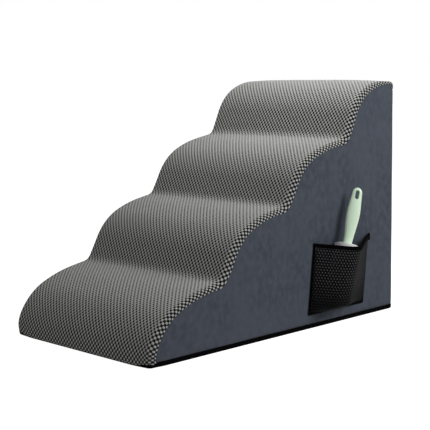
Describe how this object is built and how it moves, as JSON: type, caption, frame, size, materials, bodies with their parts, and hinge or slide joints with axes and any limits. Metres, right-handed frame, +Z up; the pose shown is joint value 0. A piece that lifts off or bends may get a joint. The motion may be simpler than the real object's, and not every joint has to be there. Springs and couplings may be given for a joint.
{
  "type": "dog ramp",
  "caption": "Foam pet ramp with wave-shaped steps in a zipped fabric cover, with a side mesh pocket that holds a lint roller.",
  "frame": {"origin": "on the floor, at the middle of the ramp's own footprint, without the pocket and the zip's slider", "axes": "+Z up, +Y from the low front end to the tall back, +X towards the side with the pocket"},
  "size_m": [0.46, 0.7197, 0.5],
  "materials": {
    "firm_foam": "matte",
    "soft_foam": "matte",
    "liner": "matte",
    "spacer_mesh": "matte",
    "suede": "matte",
    "grip_fabric": "matte",
    "rim_fabric": "matte",
    "zip_tape": "matte",
    "zip_nylon": "satin",
    "zip_metal": "satin",
    "label": "matte",
    "pocket_net": "matte",
    "pocket_binding": "matte",
    "green_plastic": "gloss",
    "axle_steel": "satin",
    "white_plastic": "satin",
    "cardboard": "matte",
    "adhesive_paper": "satin"
  },
  "bodies": {
    "ramp": {"foam_base": "firm_foam", "comfort_foam": "soft_foam", "inner_liner": "liner", "tread_panel": "spacer_mesh", "side_panel_right": "suede", "side_panel_left": "suede", "back_panel": "suede", "base_panel": "grip_fabric", "base_rim_right": "rim_fabric", "base_rim_left": "rim_fabric", "base_rim_back": "rim_fabric", "front_hem": "rim_fabric", "zip_tape_upper": "zip_tape", "zip_tape_lower": "zip_tape", "zip_teeth_upper": "zip_nylon", "zip_teeth_lower": "zip_nylon", "zip_stop_left": "zip_metal", "zip_stop_right": "zip_metal", "care_label": "label", "pocket_mesh": "pocket_net", "pocket_mouth_binding": "pocket_binding", "pocket_edge_binding": "pocket_binding"},
    "slider": {"zip_slider": "zip_metal"},
    "pull": {"zip_pull": "zip_metal"},
    "roller_grip": {"roller_handle": "green_plastic", "roller_axle": "axle_steel"},
    "roll": {"roller_drum": "white_plastic", "drum_end_cap": "white_plastic", "paper_core": "cardboard", "adhesive_sheets": "adhesive_paper"}
  },
  "joints": [
    {"name": "zip_slide", "type": "slide", "parent": "ramp", "child": "slider", "axis": [1, 0, 0], "range_m": [0, 0.316]},
    {"name": "pull_swing", "type": "hinge", "parent": "slider", "child": "pull", "pos_m": [-0.158, 0.3599, 0.0173], "axis": [0, 0, 1], "range_deg": [0, 175]},
    {"name": "roller_lift", "type": "slide", "parent": "ramp", "child": "roller_grip", "axis": [0, 0.3007, 0.9537], "range_m": [0, 0.13]},
    {"name": "roll_spin", "type": "hinge", "parent": "roller_grip", "child": "roll", "pos_m": [0.2285, 0.1247, 0.063], "axis": [0, 0.3007, 0.9537], "continuous": true}
  ]
}
